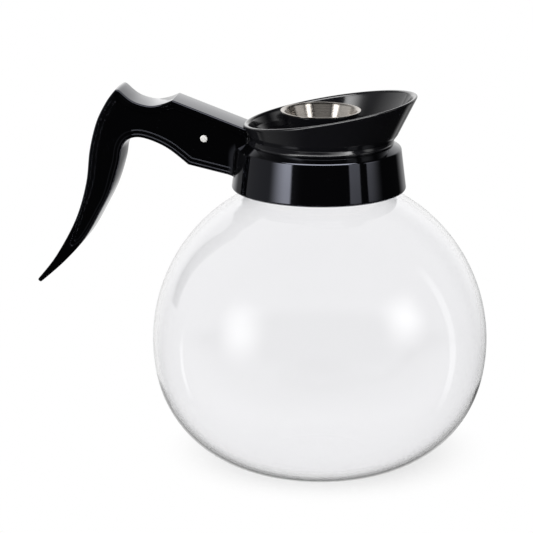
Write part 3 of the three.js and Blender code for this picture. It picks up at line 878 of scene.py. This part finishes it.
throat = spout_throat(0)
rim_outer = spout_rim(0)
rim_inner = spout_rim(SPOUT_WALL)
throat_inner = spout_throat(SPOUT_WALL)
foot = oval(CONE_FRONT, CONE_BACK, CONE_SIDE, lambda x: SPOUT_FOOT)
ring_steps = eased([
    (FOOT_RING_RADIUS - RING_UNDERCUT, -FOOT_RING_DROP, 0),
    (FOOT_RING_RADIUS, FOOT_RING_EDGE, FOOT_RING_ROUND),
    (CONE_SIDE, FOOT_RING_TOP, RING_FILLET),
    (CONE_SIDE - RING_FILLET, THROAT_RISE, 0),
], RING_STEPS)
spout_rings = [
    circle(SPOUT_PLUG_RADIUS, FLANGE_BOTTOM - SKIRT_LENGTH),
    circle(SPOUT_PLUG_RADIUS, FLANGE_BOTTOM),
    circle(SPOUT_FOOT_RADIUS, FLANGE_BOTTOM),
    circle(SPOUT_FOOT_RADIUS, SPOUT_FOOT),
    *[swollen(between(foot, throat, rise / THROAT_RISE), reach) for reach, rise in ring_steps],
    *loft(throat, rim_outer),
    *lip_rings(rim_outer, rim_inner, throat),
    *loft(rim_inner, throat_inner),
    circle(SEAT_RADIUS, SEAT_LEDGE),
    circle(SPOUT_BORE, SEAT_LEDGE),
    circle(SPOUT_BORE, FLANGE_BOTTOM - SKIRT_LENGTH),
]
spout = solid("spout_moulding", *skin(spout_rings, True))
dress(spout, satin_pp)
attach(spout, "carafe")
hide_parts("pour_spout")

# %% [markdown]
# The brew funnel stands inside the spout and lifts out. Its black cup is a plain cone on a round floor,
# and the floor has one wide slot to pour through and a small one at the back that lets air in.

# %% Funnel cup
FLOOR_BOTTOM = 164.292
FLOOR_TOP = 166.292
FLOOR_EDGE = 30.3
CUP_TOP = 178.192
CUP_BOTTOM = 157.992
CUP_RADIUS = 19.2
CUP_WALL = 1.0
CUP_SLOPE = math.tan(math.radians(23.3))
SLOT_INNER, SLOT_OUTER = 16.28, 24.7
POUR_SLOT, VENT_SLOT = math.radians(84), math.radians(34)
SLOT_STEPS = 24
FINE_ROUND, FLOOR_ROUND, CUP_FILLET = 0.3, 0.5, 0.8
CUP_STEPS = 5


def cup_radius(height):
    """Radius of the cup's outside at a height."""
    return CUP_RADIUS - (CUP_TOP - height) * CUP_SLOPE


def floor_slot(direction, spread):
    """A cutter for a slot in the floor, about a direction seen from above."""
    start, end = direction - spread / 2, direction + spread / 2
    outer = arc((0, 0), SLOT_OUTER, start, end, SLOT_STEPS)
    inner = arc((0, 0), SLOT_INNER, end, start, SLOT_STEPS)
    return prism(outer + inner, FLOOR_BOTTOM - SLOT_SPARE, FLOOR_TOP + SLOT_SPARE, upright)


cup_profile = eased([
    (cup_radius(CUP_BOTTOM), CUP_BOTTOM, FINE_ROUND),
    (cup_radius(FLOOR_BOTTOM), FLOOR_BOTTOM, FLOOR_ROUND),
    (FLOOR_EDGE, FLOOR_BOTTOM, FINE_ROUND),
    (FLOOR_EDGE, FLOOR_TOP, FLOOR_ROUND),
    (cup_radius(FLOOR_TOP), FLOOR_TOP, CUP_FILLET),
    (CUP_RADIUS, CUP_TOP, FINE_ROUND),
    (CUP_RADIUS - CUP_WALL, CUP_TOP, FINE_ROUND),
    (cup_radius(CUP_BOTTOM) - CUP_WALL, CUP_BOTTOM, FINE_ROUND),
], CUP_STEPS)
funnel_cup = solid("funnel_moulding", *turned(cup_profile, True))
carve(funnel_cup, floor_slot(0, POUR_SLOT))
carve(funnel_cup, floor_slot(math.pi, VENT_SLOT))
dress(funnel_cup, satin_pp)
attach(funnel_cup, "funnel")
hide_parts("funnel_cup")

# %% [markdown]
# The liner is thin sheet with a lip rolled over the cup's edge. The roll is a small half round, which
# draws the bright line that outlines the funnel's mouth.

# %% Funnel liner
LINER_SHEET = 0.4
LINER_GAP = 0.2
LIP_BOTTOM = 178.492
LIP_THICKNESS = 0.35
LIP_RADIUS = 19.5
LINER_ROUND = 0.2
LIP_ROUND = 0.48 * LIP_THICKNESS
MOUTH_FILLET = 1.6

liner_mouth = cup_radius(LIP_BOTTOM) - CUP_WALL - LINER_GAP
liner_foot = cup_radius(CUP_BOTTOM) - CUP_WALL - LINER_GAP
lip_top = LIP_BOTTOM + LIP_THICKNESS
liner_profile = eased([
    (liner_foot, CUP_BOTTOM, LINER_ROUND),
    (liner_mouth, LIP_BOTTOM, 0.0),
    (LIP_RADIUS, LIP_BOTTOM, LIP_ROUND),
    (LIP_RADIUS, lip_top, LIP_ROUND),
    (liner_mouth - LINER_SHEET + LIP_THICKNESS * CUP_SLOPE, lip_top, MOUTH_FILLET),
    (liner_foot - LINER_SHEET, CUP_BOTTOM, LINER_ROUND),
])
funnel_liner = solid("funnel_lining", *turned(liner_profile, True))
dress(funnel_liner, spun_steel, SOFT_CREASE)
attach(funnel_liner, "funnel")
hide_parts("funnel_liner")

# %% [markdown]
# The handle is one flat moulding with a hooked grip. Its outline in the side view is a few smooth runs
# through listed points, given out from the collar's foot and up from its top. A spline is worked out
# here instead of a curve object, because the border and the panel need the same points again.

# %% Handle runs
ROOT_TOP = (-13, 4.85)
ARM_PEAK = (29.5, 20.3)
THUMB_DIP = [(34.6, 18.2), (40.2, 17.1), (45.6, 17.9), (50.4, 19.9)]
HORN_START, HORN_PEAK, HORN_END = (55.4, 24), (57.2, 25.6), (58.8, 23.4)
SPINE = [(62.6, 18.1), (67.5, 8.2), (71.1, -6), (73.2, -22.8), (78.7, -41.2), (88.8, -60)]
TIP_OUTER, TIP_INNER = (98.6, -72.7), (97, -74.1)
INNER_GRIP = [(84.9, -63.2), (74.0, -50.8), (66.4, -37.7), (60.2, -25.3), (56.2, -12.6)]
FINGER_ARCH = [(54.7, -4.4), (51.6, -0.2), (46.2, 1.1), (38.6, -0.8), (30.8, -4.7)]
ARM_HEEL = (21.9, -11.6)
ROOT_BOTTOM = (-13, -19.3)
SPLINE_STEPS = 6


def handle_point(place):
    """A handle point in the side view's x and z."""
    return Vector((-(COLLAR_FOOT + place[0]), COLLAR_TOP + place[1]))


def smooth_run(places):
    """A smooth line through handle points, both ends included."""
    knots = [handle_point(place) for place in places]
    line = []
    for i in range(len(knots) - 1):
        first, last = knots[i], knots[i + 1]
        leaving = (last - knots[max(i - 1, 0)]) / 2
        arriving = (knots[min(i + 2, len(knots) - 1)] - first) / 2
        for step in range(SPLINE_STEPS):
            t = step / SPLINE_STEPS
            bend = (2 * (first - last) + leaving + arriving) * t ** 3
            bend += (3 * (last - first) - 2 * leaving - arriving) * t ** 2
            line.append(first + leaving * t + bend)
    return [*line, knots[-1]]


def horn_round():
    """The rounded top of the horn, without its two ends."""
    start, peak, end = [handle_point(place) for place in (HORN_START, HORN_PEAK, HORN_END)]
    shares = [i / SPLINE_STEPS for i in range(1, SPLINE_STEPS)]
    return [start * (1 - t) ** 2 + peak * 2 * t * (1 - t) + end * t ** 2 for t in shares]


top_run = smooth_run([ARM_PEAK, *THUMB_DIP, HORN_START])
back_run = smooth_run([HORN_END, *SPINE, TIP_OUTER])
grip_run = smooth_run([TIP_INNER, *INNER_GRIP, *FINGER_ARCH, ARM_HEEL])
handle_line = [
    handle_point(ROOT_TOP), *top_run, *horn_round(), *back_run, *grip_run, handle_point(ROOT_BOTTOM),
]
print("handle runs have", len(handle_line), "points")

# %% [markdown]
# The runs meet in corners, such as those at the heel and the tip. A moulded handle has none that could cut
# a hand, so each is rounded as far as the lines beside it leave room.

# %% Handle outline
CORNER_ROUND = 1.6
CORNER_TURN = math.radians(20)
CORNER_ROOM = 0.45


def softened(outline, radius):
    """A closed outline with its sharp corners rounded, as far as the lines beside them leave room."""
    corners = []
    for i, point in enumerate(outline):
        before = point - outline[i - 1]
        after = outline[(i + 1) % len(outline)] - point
        turn = before.angle(after)
        room = 0.0
        if turn > CORNER_TURN:
            room = CORNER_ROOM * min(before.length, after.length) / math.tan(turn / 2)
        corners.append((point.x, point.y, min(radius, room)))
    return eased(corners)


handle_outline = softened(handle_line, CORNER_ROUND)
print("handle outline has", len(handle_outline), "points")

# %% [markdown]
# Each flank has a raised border round a sunk panel. The panel's outline is the handle's own, drawn in by
# the width of the border, which narrows towards the blade so that both fit on the thin grip.

# %% Handle panel
BORDER_WIDTH, STEP_WIDTH = 1.75, 1.9
PANEL_CORNER = 2.2
PANEL_ROOT_GAP = -10.4
PANEL_BACK_END, PANEL_TIP, PANEL_GRIP_END = -44.0, (85.0, -59.5), -55.0
PANEL_TAPER = 40.0
LEAST_BORDER = 0.7
SHORTEST_STEP = 0.35


def tapering(end, length, least):
    """A share for each point of the handle, which falls from one to the least share towards an end."""
    low = handle_point(end).y
    return lambda point: min(max((point.y - low) / length, least), 1.0)


border_share = tapering(PANEL_TIP, PANEL_TAPER, LEAST_BORDER)


def drawn_in(outline, distance, share=lambda point: 1.0):
    """A closed outline moved in by a distance, or by a share of it at each point."""
    area = sum(a.x * b.y - b.x * a.y for a, b in zip(outline, [*outline[1:], outline[0]]))
    side = 1 if area > 0 else -1
    moved = []
    for i, point in enumerate(outline):
        before = point - outline[i - 1]
        after = outline[(i + 1) % len(outline)] - point
        first = Vector((-before.y, before.x)).normalized() * side
        second = Vector((-after.y, after.x)).normalized() * side
        moved.append(point + (first + second) * distance * share(point) / (1 + first.dot(second)))
    return moved


def panel_outline(inset):
    """The outline of the flank, less the part in the collar and the blade, drawn in by an inset. A point
    that would fold back on the one before it is left out."""
    nearest = -(COLLAR_FOOT + PANEL_ROOT_GAP)
    top = smooth_run([ARM_PEAK, *THUMB_DIP])
    back = [point for point in smooth_run([*SPINE, TIP_OUTER]) if point.y > COLLAR_TOP + PANEL_BACK_END]
    grip = [point for point in grip_run if point.y > COLLAR_TOP + PANEL_GRIP_END]
    edge = [*top, handle_point(HORN_PEAK), *back, handle_point(PANEL_TIP), *grip]
    ends = []
    for outer, root in ((ARM_HEEL, ROOT_BOTTOM), (ARM_PEAK, ROOT_TOP)):
        start, end = handle_point(outer), handle_point(root)
        ends.append(start.lerp(end, (nearest - start.x) / (end.x - start.x)))
    plain = [*ends, *edge]
    spaced = []
    for i, point in enumerate(drawn_in(plain, inset, border_share)):
        onward = (plain[i] - plain[i - 1]).normalized()
        if not spaced or (point - spaced[-1]).dot(onward) > SHORTEST_STEP:
            spaced.append(point)
    return softened(spaced, PANEL_CORNER)


print("panel outline has", len(panel_outline(BORDER_WIDTH)), "points")

# %% [markdown]
# A flank goes down in two small steps to its panel, and the rounded edge of each step draws one thin
# light. It is built as rings: the outline drawn in step by step while it climbs round the edge, then the
# panel's own outline going down into the recess.

# %% Handle flanks
HANDLE_WIDTH = 20.4
CROWN = 0.3
EDGE_ROUND = 1.0
EDGE_STEPS = 6
FIRST_DROP, SECOND_DROP = 0.6, 0.8
STEP_ROUND = 0.25
BLADE_LENGTH = 50.0
LEAST_EDGE = 0.35

flank = HANDLE_WIDTH / 2
quarter = [math.pi / 2 * i / EDGE_STEPS for i in range(EDGE_STEPS + 1)]
blade_share = tapering(TIP_INNER, BLADE_LENGTH, LEAST_EDGE)


def crowned(depth):
    """How far the edge is drawn in at a depth, so that the handle's top and underside swell a little."""
    return CROWN * ((depth / flank) ** 2 - 0.5)


def step_down(outline, top, drop):
    """Rings of a small step down into the flank, rounded at its edge and filleted at its foot."""
    rings = []
    for t in quarter:
        edge = drawn_in(outline, STEP_ROUND * (math.sin(t) - 1))
        rings.append((edge, top + STEP_ROUND * (math.cos(t) - 1)))
    for t in quarter:
        fillet = drawn_in(outline, STEP_ROUND * (1 - math.cos(t)))
        rings.append((fillet, top - drop + STEP_ROUND * (1 - math.sin(t))))
    return rings


def sideways(point, depth):
    """A place for outlines drawn as seen from the side."""
    return Vector((point[0], depth, point[1]))


def flank_rings(side):
    """Rings of one flank: its outer edge, the first step and the second."""
    swell = crowned(flank - EDGE_ROUND)
    edge = []
    for t in quarter:
        outline = drawn_in(handle_outline, swell + EDGE_ROUND * (1 - math.cos(t)), blade_share)
        edge.append((outline, flank - EDGE_ROUND * (1 - math.sin(t))))
    first = step_down(panel_outline(BORDER_WIDTH), flank, FIRST_DROP)
    second = step_down(panel_outline(BORDER_WIDTH + STEP_WIDTH), flank - FIRST_DROP, SECOND_DROP)
    runs = (edge, first, second)
    return [[[sideways(point, side * y) for point in outline] for outline, y in run] for run in runs]


print("handle is", HANDLE_WIDTH, "mm wide")

# %% [markdown]
# Skins over the rings and fills between them make one closed handle. That keeps every rounding even, which
# a boolean cut followed by a bevel would not.

# %% Handle moulding
CROWN_STEPS = 8


def handle_mesh():
    """Points and faces of the plain handle, panels included, before it meets the collar."""
    points, faces = [], []

    def add(new_points, new_faces):
        start = len(points)
        points.extend(new_points)
        faces.extend([start + corner for corner in face] for face in new_faces)

    near, far = flank_rings(-1), flank_rings(1)
    middle = []
    for i in range(1, CROWN_STEPS):
        depth = (flank - EDGE_ROUND) * (2 * i / CROWN_STEPS - 1)
        outline = drawn_in(handle_outline, crowned(depth), blade_share)
        middle.append([sideways(point, depth) for point in outline])
    add(*skin([*reversed(near[0]), *middle, *far[0]], False))
    for edge, first, second in (near, far):
        add(*skin(first, False))
        add(*skin(second, False))
        for loops in ([edge[-1], first[0]], [first[-1], second[0]], [second[-1]]):
            add([point for loop in loops for point in loop], tessellate_polygon(loops))
    return points, faces


handle = solid("handle_moulding", *handle_mesh())
print("plain handle", len(handle.data.polygons), "faces")

# %% [markdown]
# Where the handle meets the collar its flanks sweep out in a small fillet, which a moulding needs so that
# it does not crack there. A bevel needs an edge between the two, and here they only touch. So the mesh is
# sliced finely near the root, and its points are moved out along an arc.

# %% Handle root
ROOT_FILLET = 4.5
ROOT_COLLAR = 42.6
ROOT_SLICE = 0.5
SLICE_TOLERANCE = 1e-7
FILLET_SHARE = 0.98
SWEEP_LOW, SWEEP_HIGH = -8.0, 1.0

root_start = -math.sqrt((ROOT_COLLAR + ROOT_FILLET) ** 2 - (flank + ROOT_FILLET) ** 2)


def sliced(mesh, axis, first, length):
    """Cuts the faces of the root along even planes over a length, so that it can bend there."""
    start = (root_start + ROOT_SLICE / 2) * MM
    normal = Vector((0, 0, 0))
    normal[axis] = 1
    work = bmesh.new()
    work.from_mesh(mesh)
    for i in range(math.ceil(length / ROOT_SLICE) + 1):
        faces = [face for face in work.faces if max(corner.co.x for corner in face.verts) > start]
        edges = {edge for face in faces for edge in face.edges}
        corners = {corner for face in faces for corner in face.verts}
        bmesh.ops.bisect_plane(
            work, geom=[*corners, *edges, *faces], dist=SLICE_TOLERANCE,
            plane_co=normal * ((first + ROOT_SLICE * i) * MM), plane_no=normal,
        )
    work.to_mesh(mesh)
    work.free()


sliced(handle.data, 0, root_start, ROOT_FILLET)
sliced(handle.data, 2, COLLAR_TOP + SWEEP_LOW, SWEEP_HIGH - SWEEP_LOW)
for corner in handle.data.vertices:
    x, y, z = corner.co / MM
    into = min(max(x - root_start, 0), ROOT_FILLET * FILLET_SHARE)
    flare = ROOT_FILLET - math.sqrt(ROOT_FILLET ** 2 - into ** 2)
    fade = min(max((COLLAR_TOP + SWEEP_HIGH - z) / (SWEEP_HIGH - SWEEP_LOW), 0), 1)
    fade = fade * fade * (3 - 2 * fade)
    corner.co.y = y * (1 + fade * flare / flank) * MM
print("handle root", len(handle.data.polygons), "faces")

# %% [markdown]
# Collar, spout, strap ears and pin all reach into the handle. Their shapes, each with a small gap, are cut
# out of it, so that no piece passes through another.

# %% Seats in the handle
SEAT_GAP = 0.05
EAR_BEND = -42.6
EAR_RADIUS = 4.0
POCKET_GAP = 0.5
BAND_HALF = 3.5
PIN_RADIUS = 1.75
PLUG_SPARE = 20.0
POCKET_STEPS, BORE_STEPS = 16, 48
HANDLE_CREASE = 35

collar_plug = eased([
    *collar_outside(SEAT_GAP),
    (0, COLLAR_TOP + SEAT_GAP, 0),
    (0, COLLAR_BOTTOM - SEAT_GAP, 0),
], COLLAR_STEPS)
ring_reach = FOOT_RING_RADIUS + SEAT_GAP
ring_low = SPOUT_FOOT - FOOT_RING_DROP - SEAT_GAP
spout_plug = [
    circle(0, FLANGE_BOTTOM),
    circle(SPOUT_FOOT_RADIUS + SEAT_GAP, FLANGE_BOTTOM),
    circle(SPOUT_FOOT_RADIUS + SEAT_GAP, ring_low),
    circle(ring_reach, ring_low),
    circle(ring_reach, SPOUT_FOOT + FOOT_RING_EDGE + SEAT_GAP),
    spout_throat(-SEAT_GAP),
    spout_rim(-SEAT_GAP),
    [point + Vector((0, 0, PLUG_SPARE)) for point in spout_rim(-SEAT_GAP)],
    circle(0, SPOUT_FOOT + FRONT_RISE + 2 * PLUG_SPARE),
]

heading = math.atan2(PIN_Z - BAND_MIDDLE, PIN_X - EAR_BEND)
ear_start, ear_end = heading + math.pi / 2, heading - math.pi / 2
pocket_low, pocket_high = BAND_MIDDLE - BAND_HALF - POCKET_GAP, BAND_MIDDLE + BAND_HALF + POCKET_GAP
ear_pocket = [
    (-COLLAR_MOUTH, pocket_low),
    (EAR_BEND, pocket_low),
    *arc((PIN_X, PIN_Z), EAR_RADIUS + POCKET_GAP, ear_start, ear_end, POCKET_STEPS),
    (EAR_BEND, pocket_high),
    (-COLLAR_MOUTH, pocket_high),
]
pin_bore = arc((PIN_X, PIN_Z), PIN_RADIUS + SEAT_GAP, 0, 2 * math.pi, BORE_STEPS)[:-1]

carve(handle, solid("collar_plug", *collar_skin(collar_plug)))
carve(handle, solid("spout_plug", *skin(spout_plug, False)))
carve(handle, prism(ear_pocket, -slot_half, slot_half, sideways))
carve(handle, prism(pin_bore, -HANDLE_WIDTH, HANDLE_WIDTH, sideways))
dress(handle, polished_abs, HANDLE_CREASE)
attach(handle, "carafe")
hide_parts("handle")

# %% [markdown]
# The pin goes right through handle and ears and holds the strap tight. Its ends stand a hair proud of
# the panels and are slightly domed, so a half profile is turned about its axis and laid across the handle.

# %% Handle pin
PIN_PROUD = 0.25
PIN_DOME = 0.2
DOME_STEPS = 10

pin_half = flank - FIRST_DROP - SECOND_DROP + PIN_PROUD
pin_profile = []
for step in range(DOME_STEPS + 1):
    turn = math.pi / 2 * step / DOME_STEPS
    pin_profile.append(Vector((PIN_RADIUS * math.sin(turn), pin_half + PIN_DOME * math.cos(turn))))
pin_profile += [Vector((point.x, -point.y)) for point in reversed(pin_profile)]
pin_points, pin_faces = turned(pin_profile, False)
along_y = Matrix.Translation((PIN_X, 0, PIN_Z)) @ Matrix.Rotation(math.pi / 2, 4, "X")
pin = solid("pin", [along_y @ point for point in pin_points], pin_faces)
dress(pin, turned_nylon)
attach(pin, "carafe")
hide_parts("handle_pin")

# %% [markdown]
# The strap, its cushion and the gasket sit behind the collar. Their plain solids are shape enough, so
# they only get their materials.

# %% Hidden pieces
for name, material in (("neck_cushion", silicone), ("rim_gasket", silicone), ("clamp_band", spun_steel)):
    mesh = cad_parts[name].data
    mesh.materials.clear()
    mesh.materials.append(material)
print("materials on the hidden pieces")

# %% [markdown]
# Now that every piece exists, the lamps are told which of them they light. A collection names some pieces,
# and its lamps light either those alone or all but those.

# %% Light linking
for label, boxes, pieces, state in (
    ("not on the glass", off_glass, [globe, funnel_liner], "EXCLUDE"),
    ("on trim and funnel", [left_softbox], [collar, spout, funnel_cup, pin], "INCLUDE"),
    ("on the glass alone", on_glass, [globe], "INCLUDE"),
    ("on the spout alone", in_spout, [spout], "INCLUDE"),
    ("on the liner alone", in_liner, [funnel_liner], "INCLUDE"),
    ("on collar and spout", [overhead_trim], [collar, spout], "INCLUDE"),
    ("on the handle alone", [overhead_handle], [handle], "INCLUDE"),
):
    group = bpy.data.collections.new(label)
    for piece in pieces:
        group.objects.link(piece)
    for member in group.collection_objects:
        member.light_linking.link_state = state
    for box in boxes:
        box.light_linking.receiver_collection = group
    print(label, [box.name for box in boxes])

# %% [markdown]
# The dressed carafe keeps the size of its frame. Both boxes are measured and the growth is printed, and
# the scene is done.

# %% Size and finish
dressed_low, dressed_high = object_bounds()
growth = (dressed_high - dressed_low) - (cad_high - cad_low)
print("box grows by", [round(side / MM, 2) for side in growth], "mm")
